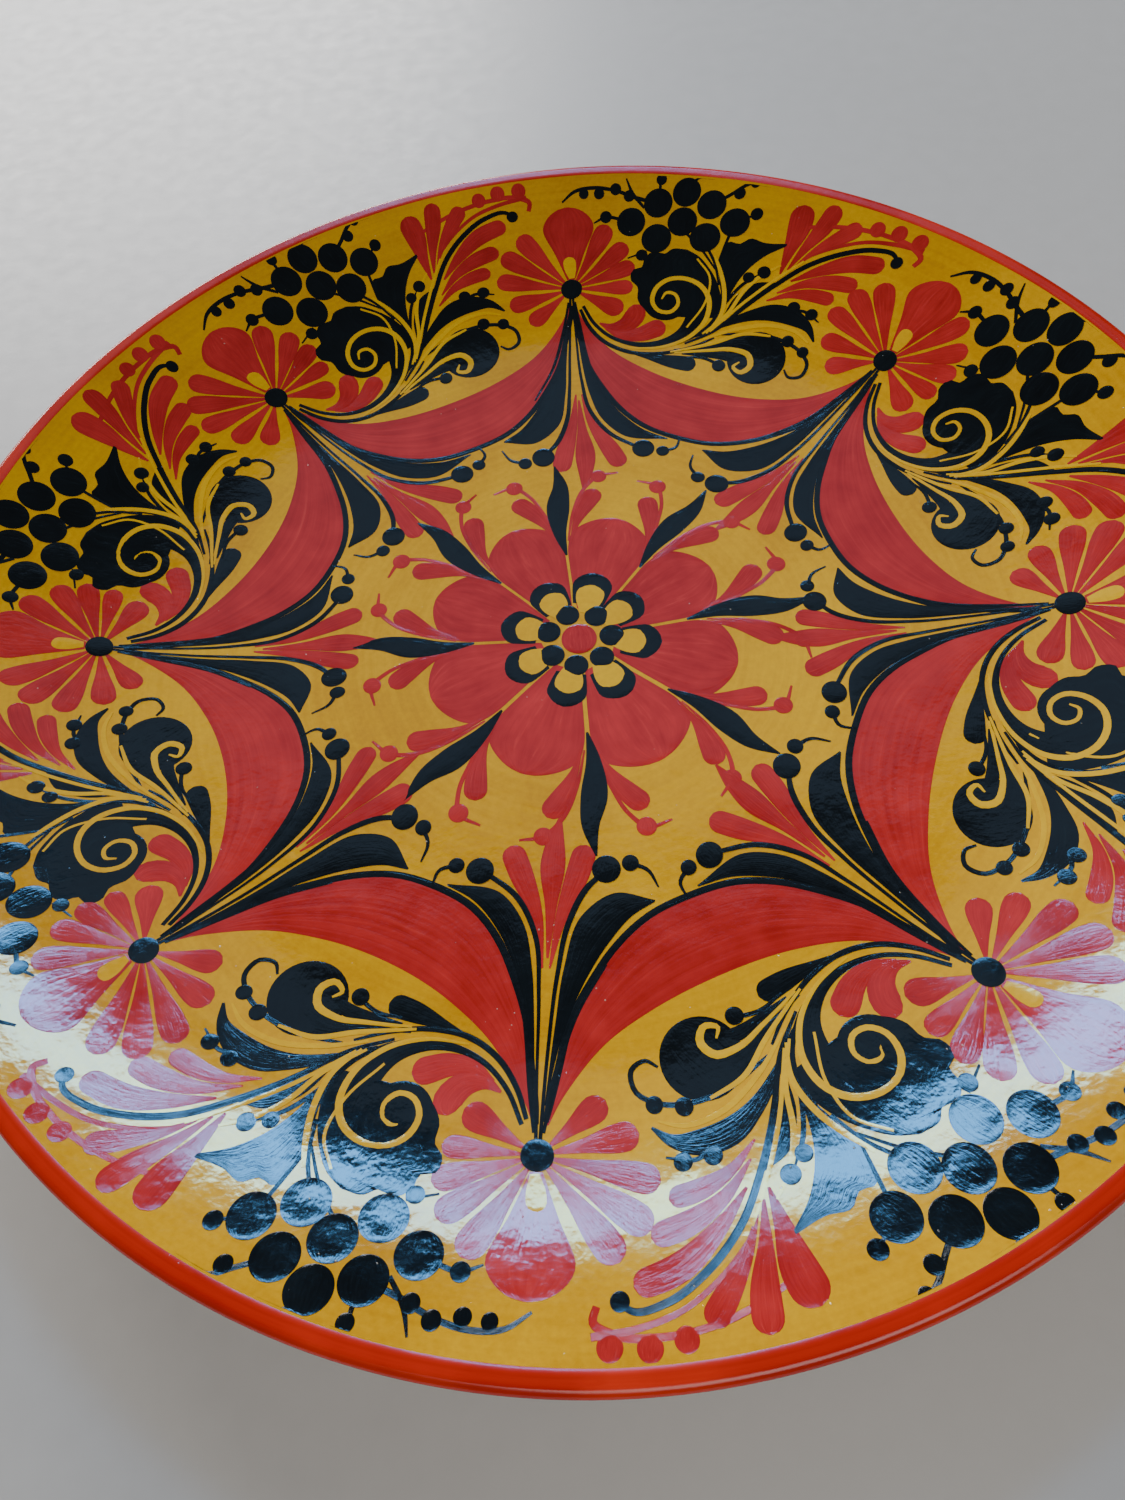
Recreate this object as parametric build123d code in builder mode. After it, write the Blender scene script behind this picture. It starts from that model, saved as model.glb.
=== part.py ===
from build123d import *

"""Painted wooden dish: one turned lime-wood body, the lacquer coats that cover it and the
painted ornament that lies on the gilt ground inside it.

Frame: millimetres, +Z up, origin at the centre of the foot's resting face. The dish is a
body of revolution about Z. The ornament is a wreath of eight flowers, each with the same
strokes around it, with the small uneven steps of a pattern laid out by eye.
"""

import os
from math import cos, radians, sin

# Turned body
rim_radius = 150.0
lip_width = 3.8
lip_drop = 0.9
inner_depth = 22.0
floor_radius = 70.0
floor_height = 9.5
foot_outer_radius = 62.0
foot_inner_radius = 54.0
foot_slope = 0.8
foot_height = 2.6
well_height = 3.2
edge_height = 4.6
edge_slope = 1.6
underside_slope = 0.02
lip_round = 1.5

# Coats and paint
coat = 0.4
paint = 0.3
edge_bead = 1.7
paint_overcut = 1.0

# Wreath: the angle from +X and the radius of each flower's heart
heart_angles = (86, 39.5, -4.5, -52, -98.5, -143.5, -184, -228.5)
heart_radii = (116, 114, 110, 113, 115, 116, 114, 114)
heart_radius = 2.7
widest_step = 47.5

# Petals of one flower: direction from outward (clockwise), length from the heart, width
flower_strokes = (
    (0, 24.5, 13.0),
    (31, 21.5, 4.5),
    (53, 20.0, 4.5),
    (72, 18.5, 4.5),
    (94, 17.0, 4.0),
    (120, 15.5, 4.5),
    (-41, 22.5, 4.5),
    (-60, 22.5, 4.5),
    (-80, 21.0, 4.5),
    (-104, 18.0, 4.5),
    (-130, 14.5, 4.5),
)
petal_start = 3.6

# Red ribbon that hangs between two flowers
ribbon_end = (2.8, -10.0)
ribbon_outer_radius = 87.0
ribbon_inner_radius = 70.5

# Spray below a flower: places are x clockwise and y outward from the heart
spray_leaf = ((0.5, -20.0), (6.6, -43.5), 3.4)
spray_stem_end = (0.5, -38.0)
spray_palmette = ((-5.0, -59.0, 4.2), (2.0, -63.0, 4.2), (9.5, -58.5, 4.2))
spray_berries = ((-11.5, -54.5, 2.6), (16.0, -55.0, 2.6), (-16.2, -57.0, 1.5), (21.2, -57.0, 1.5))

# Bush to the right of a flower
bush_lobe = ((31.0, 0.8), 9.0, 7.3)
bush_leaves = (
    ((42.5, -7.5), (57.5, 4.5), 6.0),
    ((18.0, -17.0), (33.0, -10.0), 3.8),
    ((40.5, -16.5), (61.5, -21.5), 3.8),
    ((21.0, -20.8), (34.5, -25.0), 3.0),
)
bush_round_leaf = ((47.0, -28.2), 5.0)
bush_berries = ((60.0, -14.0, 1.6), (64.0, -17.3, 1.6), (60.0, -27.5, 1.6), (57.0, -31.5, 1.6))
vine_points = ((28.0, -18.5), (55.0, -5.5), (87.0, -6.2))
vine_width = 1.2

# Grapes above the bush
grape_radius = 3.7
grapes = (
    (18.0, 18.5),
    (25.0, 13.2),
    (25.6, 22.0),
    (33.4, 22.6),
    (32.4, 15.2),
    (40.4, 17.8),
    (38.8, 10.4),
    (47.2, 12.4),
)

# Red palmettes on the vine: where they start, then the tip and width of each petal
palmette_root = (57.0, -1.0)
palmette_start = 4.5
rim_palmette = ((64.5, 12.5, 5.0), (72.5, 10.0, 4.4), (79.0, 4.2, 3.6))
lower_palmette_root = (54.0, -8.6)
lower_palmette = ((74.0, -7.2, 2.4), (66.5, -11.4, 2.4))

# Rosette in the centre
eye_radius = 3.2
dot_count = 7
dot_ring_radius = 8.6
dot_radius = 2.0
horseshoe_inner_radius = 11.6
horseshoe_outer_radius = 18.6
horseshoe_width = 10.4
horseshoe_root_width = horseshoe_width * 2 / 3
horseshoe_shoulder = horseshoe_outer_radius - horseshoe_width / 3
horseshoe_line = 1.5
rosette_petal_start = 19.6
rosette_petal_end = 37.5
rosette_petal_width = 16.0
rosette_leaf_start = 27.5
rosette_leaf_end = 54.0
rosette_leaf_width = 4.4
rosette_drop_radius = 43.5
rosette_drop_turn = 10.5
rosette_drop_length = 9.5
rosette_drop_width = 5.0

# Heights and radii that follow from the sizes above
rim_height = floor_height + inner_depth
lip_radius = rim_radius - lip_width
lip_height = rim_height - lip_drop
wall_run = lip_radius - floor_radius
wall_rise = lip_height - floor_height
wall_arc = (wall_run**2 + wall_rise**2) / (2 * wall_rise)
outer_height = rim_height - edge_height
paint_bottom = floor_height - paint_overcut
paint_depth = inner_depth + 2 * paint_overcut
section_height = 3 * rim_height
full_turn = 360.0

os.makedirs("parts", exist_ok=True)

heart_frames = [
    Location((0, 0, 0), (0, 0, angle - 90)) * Location((0, radius, 0))
    for angle, radius in zip(heart_angles, heart_radii)
]
centre_frames = [Location((0, 0, 0), (0, 0, angle - 90)) for angle in heart_angles]
next_angles = heart_angles[1:] + (heart_angles[0] - full_turn,)
sector_shares = [
    (angle - next_angle) / widest_step for angle, next_angle in zip(heart_angles, next_angles)
]
sectors = list(zip(heart_frames, sector_shares))


def outward(radius, turn):
    """The point at a radius in the direction turned clockwise from +Y."""
    return (radius * sin(radians(turn)), radius * cos(radians(turn)))


def line_between(start, tip):
    """Where a stroke lies: its middle with +Y toward the tip, and half of its length."""
    run = Vector(*tip) - Vector(*start)
    turn = Vector(0, 1).get_signed_angle(run, Vector(0, 0, 1))
    return Location((Vector(*start) + Vector(*tip)) / 2, (0, 0, turn)), run.length / 2


def part_way(root, tip, distance):
    """The point at a distance from the root on the line to the tip."""
    run = (Vector(*tip) - Vector(*root)).normalized() * distance
    return (root[0] + run.X, root[1] + run.Y)


def squeezed(point, share):
    """The same point in a sector that spans only a share of the widest one."""
    return (point[0] * share, point[1])


def in_every_sector(point):
    """Where a point of the drawing lies in each of the sectors."""
    return [frame * Location(squeezed(point, share)) for frame, share in sectors]


def mirrored(point):
    """The same point on the left of the flower."""
    return (-point[0], point[1])


def leaf_between(start, tip, width):
    """A pointed leaf between two arcs, laid from start to tip."""
    run = Vector(*tip) - Vector(*start)
    middle = Vector(*start) + run / 2
    across = Vector(run.Y, -run.X).normalized() * (width / 2)
    with BuildSketch() as leaf:
        with BuildLine():
            ThreePointArc(start, middle + across, tip)
            ThreePointArc(tip, middle - across, start)
        make_face()
    return leaf.sketch


def lay_paint():
    """Raise the plan through the dish and keep only the film of paint on its inside."""
    extrude(amount=paint_depth)
    add(paint_shell.part, mode=Mode.INTERSECT)


def finish(piece, label):
    """Name a piece and write it."""
    piece.part.label = label
    export_step(piece.part, f"parts/{label}.step")


# Section of the dish with every coat on it. It starts one coat behind the axis, so that the
# section one coat further in starts on the axis.
with BuildSketch(Plane.XZ) as full_section:
    with BuildLine():
        underside_end = (rim_radius - edge_slope / 2, outer_height)
        Polyline(
            (-coat, floor_height),
            (-coat, well_height),
            (foot_inner_radius, well_height),
            (foot_inner_radius + foot_slope, 0),
            (foot_outer_radius - foot_slope, 0),
            (foot_outer_radius, foot_height),
        )
        TangentArc((foot_outer_radius, foot_height), underside_end, tangent=(1, underside_slope))
        Polyline(
            underside_end,
            (rim_radius, outer_height + edge_slope),
            (rim_radius, rim_height),
            (lip_radius, lip_height),
        )
        RadiusArc((lip_radius, lip_height), (floor_radius, floor_height), wall_arc)
        Line((floor_radius, floor_height), (-coat, floor_height))
    make_face()
    lip_corner = full_section.vertices().sort_by(Axis.X)[-2:].sort_by(Axis.Y)[-1]
    fillet(lip_corner, lip_round)

# The foot ring keeps its bare wood down to the resting face
with BuildSketch(Plane.XZ) as foot_section:
    add(full_section.sketch)
    with Locations(((foot_inner_radius + foot_outer_radius) / 2, 0)):
        Rectangle(foot_outer_radius - foot_inner_radius, 2 * foot_height, mode=Mode.INTERSECT)

# The wood ends one bead of lacquer inside the rim
with BuildSketch(Plane.XZ) as wood_section:
    add(full_section.sketch)
    offset(amount=-coat, mode=Mode.REPLACE)
    with Locations((rim_radius - edge_bead, 0)):
        Rectangle(edge_bead, section_height, align=(Align.MIN, Align.CENTER), mode=Mode.SUBTRACT)
    add(foot_section.sketch)

# The coats inside the lip: the foot's well, the back and the gilt inside, from low to high
with BuildSketch(Plane.XZ) as inner_coats:
    add(full_section.sketch)
    add(wood_section.sketch, mode=Mode.SUBTRACT)
    Rectangle(lip_radius, section_height, align=(Align.MIN, Align.CENTER), mode=Mode.INTERSECT)
well_face, back_face, gilt_face = inner_coats.sketch.faces().sort_by(Axis.Z)

with BuildSketch(Plane.XZ) as rim_section:
    add(full_section.sketch)
    add(wood_section.sketch, mode=Mode.SUBTRACT)
    with Locations((lip_radius, 0)):
        Rectangle(lip_width, section_height, align=(Align.MIN, Align.CENTER), mode=Mode.INTERSECT)

# The film that every stroke of the ornament is cut from: the inside, and the inside again
# one layer of paint higher
with BuildSketch(Plane.XZ) as film_section:
    with BuildLine():
        Line((0, floor_height), (floor_radius, floor_height))
        RadiusArc((floor_radius, floor_height), (lip_radius, lip_height), -wall_arc)
        Line((lip_radius, lip_height), (lip_radius, lip_height + paint))
        RadiusArc((lip_radius, lip_height + paint), (floor_radius, floor_height + paint), wall_arc)
        Polyline(
            (floor_radius, floor_height + paint), (0, floor_height + paint), (0, floor_height)
        )
    make_face()

with BuildPart() as paint_shell:
    add(film_section.sketch)
    revolve(axis=Axis.Z)

with BuildPart() as wood_body:
    add(wood_section.sketch)
    revolve(axis=Axis.Z)
finish(wood_body, "wood_body")

with BuildPart() as gilt_ground:
    add(gilt_face)
    revolve(axis=Axis.Z)
finish(gilt_ground, "gilt_ground")

with BuildPart() as rim_band:
    add(rim_section.sketch)
    revolve(axis=Axis.Z)
finish(rim_band, "rim_band")

with BuildPart() as back_coat:
    add(back_face)
    revolve(axis=Axis.Z)
finish(back_coat, "back_coat")

with BuildPart() as foot_well_coat:
    add(well_face)
    revolve(axis=Axis.Z)
finish(foot_well_coat, "foot_well_coat")

# Flowers
with BuildPart() as flower_petals:
    with BuildSketch(Plane.XY.offset(paint_bottom)):
        for turn, length, width in flower_strokes:
            lie, half_length = line_between(outward(petal_start, turn), outward(length, turn))
            with Locations(*[frame * lie for frame in heart_frames]):
                Ellipse(width / 2, half_length)
    lay_paint()
finish(flower_petals, "flower_petals")

with BuildPart() as flower_hearts:
    with BuildSketch(Plane.XY.offset(paint_bottom)):
        with Locations(*heart_frames):
            Circle(heart_radius)
    lay_paint()
finish(flower_hearts, "flower_hearts")

# Ribbon: one crescent between each flower and the next
with BuildPart() as ribbon_crescents:
    with BuildSketch(Plane.XY.offset(paint_bottom)):
        for frame, next_frame in zip(heart_frames, heart_frames[1:] + heart_frames[:1]):
            start = (frame * Location(ribbon_end)).position
            end = (next_frame * Location(mirrored(ribbon_end))).position
            middle = (start + end).normalized()
            with BuildLine():
                ThreePointArc(start, middle * ribbon_outer_radius, end)
                ThreePointArc(end, middle * ribbon_inner_radius, start)
            make_face()
    lay_paint()
finish(ribbon_crescents, "ribbon_crescents")

# Spray below each flower
spray_start, spray_tip, spray_width = spray_leaf
right_spray_leaf = leaf_between(spray_start, spray_tip, spray_width)
left_spray_leaf = leaf_between(mirrored(spray_start), mirrored(spray_tip), spray_width)
with BuildPart() as spray_leaves:
    with BuildSketch(Plane.XY.offset(paint_bottom)):
        with Locations(*heart_frames):
            add(right_spray_leaf)
            add(left_spray_leaf)
    lay_paint()
finish(spray_leaves, "spray_leaves")

with BuildPart() as spray_palmettes:
    with BuildSketch(Plane.XY.offset(paint_bottom)):
        for x, y, width in spray_palmette:
            lie, half_length = line_between(spray_stem_end, (x, y))
            with Locations(*[frame * lie for frame in heart_frames]):
                Ellipse(width / 2, half_length)
    lay_paint()
finish(spray_palmettes, "spray_palmettes")

with BuildPart() as berries:
    with BuildSketch(Plane.XY.offset(paint_bottom)):
        for x, y, radius in spray_berries + bush_berries:
            with Locations(*in_every_sector((x, y))):
                Circle(radius)
    lay_paint()
finish(berries, "berries")

# Bush, grapes and vine between two flowers, each drawn narrower in a narrow sector
pointed_leaves = [
    frame * leaf_between(squeezed(start, share), squeezed(tip, share), width)
    for frame, share in sectors
    for start, tip, width in bush_leaves
]
lobe_place, lobe_length, lobe_width = bush_lobe
round_place, round_radius = bush_round_leaf
with BuildPart() as bush_foliage:
    with BuildSketch(Plane.XY.offset(paint_bottom)):
        add(pointed_leaves)
        for frame, share in sectors:
            with Locations(frame * Location(squeezed(lobe_place, share))):
                Ellipse(lobe_length * share, lobe_width)
        with Locations(*in_every_sector(round_place)):
            Circle(round_radius)
    lay_paint()
finish(bush_foliage, "bush_foliage")

with BuildPart() as grape_berries:
    with BuildSketch(Plane.XY.offset(paint_bottom)):
        for x, y in grapes:
            with Locations(*in_every_sector((x, y))):
                Circle(grape_radius)
    lay_paint()
finish(grape_berries, "grape_berries")

with BuildPart() as vine_stems:
    with BuildSketch(Plane.XY.offset(paint_bottom)):
        for frame, share in sectors:
            stem = [(frame * Location(squeezed(point, share))).position for point in vine_points]
            with BuildLine():
                ThreePointArc(*stem)
            trace(line_width=vine_width)
    lay_paint()
finish(vine_stems, "vine_stems")

with BuildPart() as rim_palmettes:
    with BuildSketch(Plane.XY.offset(paint_bottom)):
        for root, petals in ((palmette_root, rim_palmette), (lower_palmette_root, lower_palmette)):
            for x, y, width in petals:
                for frame, share in sectors:
                    tip = (x * share, y)
                    lie, half_length = line_between(
                        part_way(squeezed(root, share), tip, palmette_start), tip
                    )
                    with Locations(frame * lie):
                        Ellipse(width / 2, half_length)
    lay_paint()
finish(rim_palmettes, "rim_palmettes")

# Rosette in the centre
with BuildPart() as rosette_eye:
    with BuildSketch(Plane.XY.offset(paint_bottom)):
        Circle(eye_radius)
    lay_paint()
finish(rosette_eye, "rosette_eye")

with BuildPart() as rosette_dots:
    with BuildSketch(Plane.XY.offset(paint_bottom)):
        with PolarLocations(dot_ring_radius, dot_count):
            Circle(dot_radius)
    lay_paint()
finish(rosette_dots, "rosette_dots")

with BuildPart() as rosette_petals:
    with BuildSketch(Plane.XY.offset(paint_bottom)):
        lie, half_length = line_between((0, rosette_petal_start), (0, rosette_petal_end))
        with Locations(*[frame * lie for frame in centre_frames]):
            Ellipse(rosette_petal_width / 2, half_length)
    lay_paint()
finish(rosette_petals, "rosette_petals")

rosette_leaf = leaf_between((0, rosette_leaf_start), (0, rosette_leaf_end), rosette_leaf_width)
with BuildPart() as rosette_leaves:
    with BuildSketch(Plane.XY.offset(paint_bottom)):
        with Locations(*centre_frames):
            add(rosette_leaf)
    lay_paint()
finish(rosette_leaves, "rosette_leaves")

rosette_side_petals = (-rosette_drop_turn, rosette_drop_turn)
with BuildPart() as rosette_drops:
    with BuildSketch(Plane.XY.offset(paint_bottom)):
        for side in rosette_side_petals:
            lie, half_length = line_between(
                outward(rosette_drop_radius - rosette_drop_length / 2, side),
                outward(rosette_drop_radius + rosette_drop_length / 2, side),
            )
            with Locations(*[frame * lie for frame in centre_frames]):
                Ellipse(rosette_drop_width / 2, half_length)
    lay_paint()
finish(rosette_drops, "rosette_drops")

# A horseshoe of two arcs and two sides round each gilt petal
with BuildSketch() as horseshoe:
    with BuildLine():
        right_root = (horseshoe_root_width / 2, horseshoe_inner_radius)
        right_shoulder = (horseshoe_width / 2, horseshoe_shoulder)
        Line(mirrored(right_root), mirrored(right_shoulder))
        ThreePointArc(mirrored(right_shoulder), (0, horseshoe_outer_radius), right_shoulder)
        Line(right_shoulder, right_root)
    trace(line_width=horseshoe_line)
with BuildPart() as rosette_horseshoes:
    with BuildSketch(Plane.XY.offset(paint_bottom)):
        with Locations(*centre_frames):
            add(horseshoe.sketch)
    lay_paint()
finish(rosette_horseshoes, "rosette_horseshoes")
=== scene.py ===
"""The looks of a painted wooden dish: lacquered coats and a brushed wreath on a turned body.

The ornament is laid out in millimetres in the frame of one flower: x runs clockwise round the
dish and y outward, from the flower's heart. The wreath repeats it eight times, and each
stroke is a thin closed shell of paint that follows the inside of the dish.
"""

import bpy
import numpy as np
from mathutils import Matrix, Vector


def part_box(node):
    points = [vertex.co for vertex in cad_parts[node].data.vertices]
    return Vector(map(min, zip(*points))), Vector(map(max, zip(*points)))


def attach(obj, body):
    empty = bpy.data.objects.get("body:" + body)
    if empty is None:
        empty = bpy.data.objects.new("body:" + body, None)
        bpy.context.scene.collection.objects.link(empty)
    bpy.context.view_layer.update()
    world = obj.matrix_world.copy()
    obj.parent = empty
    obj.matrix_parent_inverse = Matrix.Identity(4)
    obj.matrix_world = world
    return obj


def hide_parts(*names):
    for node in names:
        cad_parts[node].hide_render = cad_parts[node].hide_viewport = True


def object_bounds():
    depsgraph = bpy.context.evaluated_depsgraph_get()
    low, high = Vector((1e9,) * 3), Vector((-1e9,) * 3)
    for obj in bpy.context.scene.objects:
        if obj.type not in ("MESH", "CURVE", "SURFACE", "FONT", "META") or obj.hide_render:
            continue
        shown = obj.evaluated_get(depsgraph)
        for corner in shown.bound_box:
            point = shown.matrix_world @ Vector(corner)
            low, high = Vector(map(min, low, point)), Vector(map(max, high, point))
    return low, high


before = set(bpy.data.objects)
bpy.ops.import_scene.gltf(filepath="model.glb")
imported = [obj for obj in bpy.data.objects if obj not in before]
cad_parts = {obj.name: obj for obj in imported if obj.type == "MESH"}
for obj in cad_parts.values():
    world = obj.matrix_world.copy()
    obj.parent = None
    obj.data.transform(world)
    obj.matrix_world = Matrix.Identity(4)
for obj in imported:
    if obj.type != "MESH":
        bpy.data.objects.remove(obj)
cad_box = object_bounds()

MM = 0.001

# The turned body, read from the frame, in millimetres
rim_radius = cad_box[1].x / MM
rim_top = cad_box[1].z / MM
lip_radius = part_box("gilt_ground")[1].x / MM
lip_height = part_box("gilt_ground")[1].z / MM
floor_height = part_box("rosette_eye")[0].z / MM
back_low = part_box("back_coat")[0].z / MM
floor_radius = 70.0
wall_run = lip_radius - floor_radius
wall_rise = lip_height - floor_height
wall_arc = (wall_run**2 + wall_rise**2) / (2 * wall_rise)
coat = 0.4
foot_radius = 62.0
back_edge_height = rim_top - 4.2

# The wreath
heart_angles = np.radians([86, 39.5, -4.5, -52, -98.5, -143.5, -184, -228.5])
heart_radii = np.array([116, 114, 110, 113, 115, 116, 114, 114.0])
sector_count = len(heart_angles)
drawn_heart_radius = 113.0
drawn_step = np.radians(46.3)
drawn_lip = 146.6
hand = np.random.default_rng(7)
hand_phase = hand.uniform(0, 2 * np.pi, (sector_count + 1, 4))
hand_reach = 0.55
bare_margin = 0.6

# Strokes of paint
sample_step = 0.9
fewest_samples, most_samples = 12, 72
thinnest_half = 0.04
smallest_cap = 0.3
nearly_closed = 0.998
full_width = 6.0
paint_rise = 0.035
paint_root = 0.12
next_stroke_lift = 0.0005
stroke_cycle = 23

crease_angle = np.radians(40)


# ---------------------------------------------------------------- shapes of the turned body


def inside_height(radius):
    """Height of the inside: flat to the floor's edge, then an arc that rises to the lip."""
    run = np.maximum(radius - floor_radius, 0)
    return floor_height + wall_arc - np.sqrt(wall_arc**2 - run**2)


def underside_height(radius):
    """Height of the back: it leaves the foot level and rises with the power 1.9 of the way out."""
    share = np.clip((radius - foot_radius) / (rim_radius - foot_radius), 0, 1)
    return back_low + (back_edge_height - back_low) * share**1.9


# ------------------------------------------------------------------------ meshes from grids


def mesh_piece(name, vertices, faces, material, attributes=None):
    """One object at the origin with its place in its mesh, riding on the dish."""
    mesh = bpy.data.meshes.new(name)
    mesh.from_pydata(vertices * MM, [], faces)
    mesh.set_sharp_from_angle(angle=crease_angle)
    for key, values in (attributes or {}).items():
        layer = mesh.attributes.new(key, "FLOAT_VECTOR", "POINT")
        layer.data.foreach_set("vector", np.ascontiguousarray(values, np.float32).ravel())
    mesh.materials.append(material)
    mesh.update()
    piece = bpy.data.objects.new(name, mesh)
    bpy.context.scene.collection.objects.link(piece)
    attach(piece, "root")
    return piece


def quads(rows, columns, wrap=False):
    """Corner numbers of the quads of a grid, rows by columns, counter-clockwise."""
    index = np.arange(rows * columns).reshape(rows, columns)
    if wrap:
        index = np.hstack([index, index[:, :1]])
    corners = (index[:-1, :-1], index[1:, :-1], index[1:, 1:], index[:-1, 1:])
    return np.stack([corner.ravel() for corner in corners], 1)


def turned_piece(name, profile, material, wobble=None, segments=512):
    """A closed profile of (radius, height) carried round the axis: x = r cos a, y = r sin a.

    Where the profile starts and ends on the axis, one vertex closes each pole."""
    profile = np.asarray(profile, float)
    on_axis = profile[0, 0] == 0 and profile[-1, 0] == 0
    rings = profile[1:-1] if on_axis else np.vstack([profile, profile[:1]])
    angle = np.linspace(0, 2 * np.pi, segments, endpoint=False)
    radius = np.repeat(rings[:, :1], segments, 1)
    height = np.repeat(rings[:, 1:], segments, 1)
    if wobble is not None:
        radius, height = wobble(radius, height, angle[None, :])
    points = np.stack([radius * np.cos(angle), radius * np.sin(angle), height], -1)
    if on_axis:
        faces = quads(len(rings), segments, wrap=True).tolist()
        poles = [[0, 0, profile[0, 1]], [0, 0, profile[-1, 1]]]
        vertices = np.vstack([points.reshape(-1, 3), poles])
        first, last = np.arange(segments), np.arange(segments) + (len(rings) - 1) * segments
        start, end = len(vertices) - 2, len(vertices) - 1
        faces += np.stack([np.full(segments, start), first, np.roll(first, -1)], 1).tolist()
        faces += np.stack([np.full(segments, end), np.roll(last, -1), last], 1).tolist()
    else:
        vertices = points[:-1].reshape(-1, 3)
        faces = (quads(len(rings), segments, wrap=True) % len(vertices)).tolist()
    return mesh_piece(name, vertices, faces, material)


# ------------------------------------------------------------------------- brush and paint


def smooth_curve(points, count):
    """Hermite curve through the points, its tangents the slopes between their neighbours.

    The count samples crowd towards both ends, so that round ends stay round. With them comes
    how far along the knots each one lies."""
    points = np.asarray(points, float)
    steps = np.hypot(*np.diff(points[:, :2], axis=0).T)
    knots = np.concatenate([[0], np.cumsum(np.maximum(steps, 1e-6))])
    slopes = np.gradient(points, knots, axis=0)
    even = np.linspace(0, 1, count)
    crowded = (1 - np.cos(np.pi * even)) / 2
    at = knots[-1] * (0.65 * crowded + 0.35 * even)
    left = np.clip(np.searchsorted(knots, at, side="right") - 1, 0, len(knots) - 2)
    span = (knots[left + 1] - knots[left])[:, None]
    t = ((at - knots[left])[:, None]) / span
    start, end = points[left], points[left + 1]
    out, into = slopes[left] * span, slopes[left + 1] * span
    cubic = (2 * t**3 - 3 * t**2 + 1) * start + (t**3 - 2 * t**2 + t) * out
    return cubic + (3 * t**2 - 2 * t**3) * end + (t**3 - t**2) * into, at


def samples_for(points):
    """Enough samples for one every step along the points, within the limits."""
    points = np.asarray(points, float)
    length = np.hypot(*np.diff(points[:, :2], axis=0).T).sum()
    return int(np.clip(length / sample_step, fewest_samples, most_samples))


def rounding(reach):
    """Quarter circle that rounds an end off: 1 at reach 0, and nearly 0 at reach 1."""
    return np.sqrt(1 - np.clip(reach, 0, nearly_closed) ** 2)


def brush(points, blunt_end=False, across=7):
    """A brush stroke: a smooth line through (x, y, width), widened to each side of itself.

    A blunt end is rounded off over its own half width. Other ends run out thin."""
    line, at = smooth_curve(points, samples_for(points))
    half = np.maximum(line[:, 2] / 2, thinnest_half)
    if blunt_end:
        cap = max(half[-1], smallest_cap)
        half = half * rounding((at - at[-1] + cap) / cap)
    heading = np.gradient(line[:, :2], axis=0)
    heading /= np.hypot(*heading.T)[:, None]
    side = np.stack([-heading[:, 1], heading[:, 0]], 1)
    v = np.linspace(-1, 1, across)
    return line[:, None, :2] + side[:, None] * (half[:, None] * v)[..., None]


def between(first_edge, second_edge, across=9):
    """A filled shape between two smooth edges: the straight mix of both at each share."""
    count = max(samples_for(first_edge), samples_for(second_edge))
    first = smooth_curve(first_edge, count)[0][:, :2]
    second = smooth_curve(second_edge, count)[0][:, :2]
    share = np.linspace(0.0, 1.0, across)[None, :, None]
    return first[:, None] * (1 - share) + second[:, None] * share


def disc(x, y, radius, across=9):
    """A round dab: rows of a circle, each as wide as the circle is there."""
    short_of_tip = 0.06
    turn = np.linspace(short_of_tip, np.pi - short_of_tip, 18)[:, None]
    v = np.linspace(-1, 1, across)
    rows = np.stack([np.sin(turn) * v, np.repeat(-np.cos(turn), across, 1)], -1)
    return rows * radius + np.array([x, y])


def on_wreath(plan, sector):
    """Carries a drawn shape to one sector of the dish.

    The drawing's angle is stretched to the step between two hearts, and its radius to the
    hearts and the lip. Slow waves of the hand, products of two sines, move every sector a
    little differently."""
    drawn_x, drawn_y = plan[..., 0], plan[..., 1]
    phase = hand_phase[sector]
    x = drawn_x + hand_reach * np.sin(drawn_y / 13 + phase[0]) * np.sin(drawn_x / 17 + phase[1])
    y = drawn_y + hand_reach * np.sin(drawn_x / 15 + phase[2]) * np.sin(drawn_y / 12 + phase[3])
    radius = np.hypot(x, drawn_heart_radius + y)
    share = np.arctan2(x, drawn_heart_radius + y) / drawn_step
    later, before = (sector + 1) % sector_count, (sector - 1) % sector_count
    step_on = (heart_angles[sector] - heart_angles[later]) % (2 * np.pi)
    step_back = (heart_angles[before] - heart_angles[sector]) % (2 * np.pi)
    angle = heart_angles[sector] - share * np.where(share > 0, step_on, step_back)
    reach = np.clip(np.abs(share), 0, 1)
    other = np.where(share > 0, heart_radii[later], heart_radii[before])
    heart = heart_radii[sector] * (1 - reach) + other * reach
    outer_scale = (lip_radius - heart) / (drawn_lip - drawn_heart_radius)
    outer = heart + (radius - drawn_heart_radius) * outer_scale
    radius = np.where(radius > drawn_heart_radius, outer, radius * heart / drawn_heart_radius)
    radius = np.minimum(radius, lip_radius - bare_margin)
    return np.stack([radius * np.cos(angle), radius * np.sin(angle)], -1)


def round_centre(plan, turn, reach=1.0):
    """Turns a shape drawn along +Y about the dish's centre, clockwise from +Y, and scales it."""
    x, y = plan[..., 0] * reach, plan[..., 1] * reach
    return np.stack([x * np.cos(turn) + y * np.sin(turn), y * np.cos(turn) - x * np.sin(turn)], -1)


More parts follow.
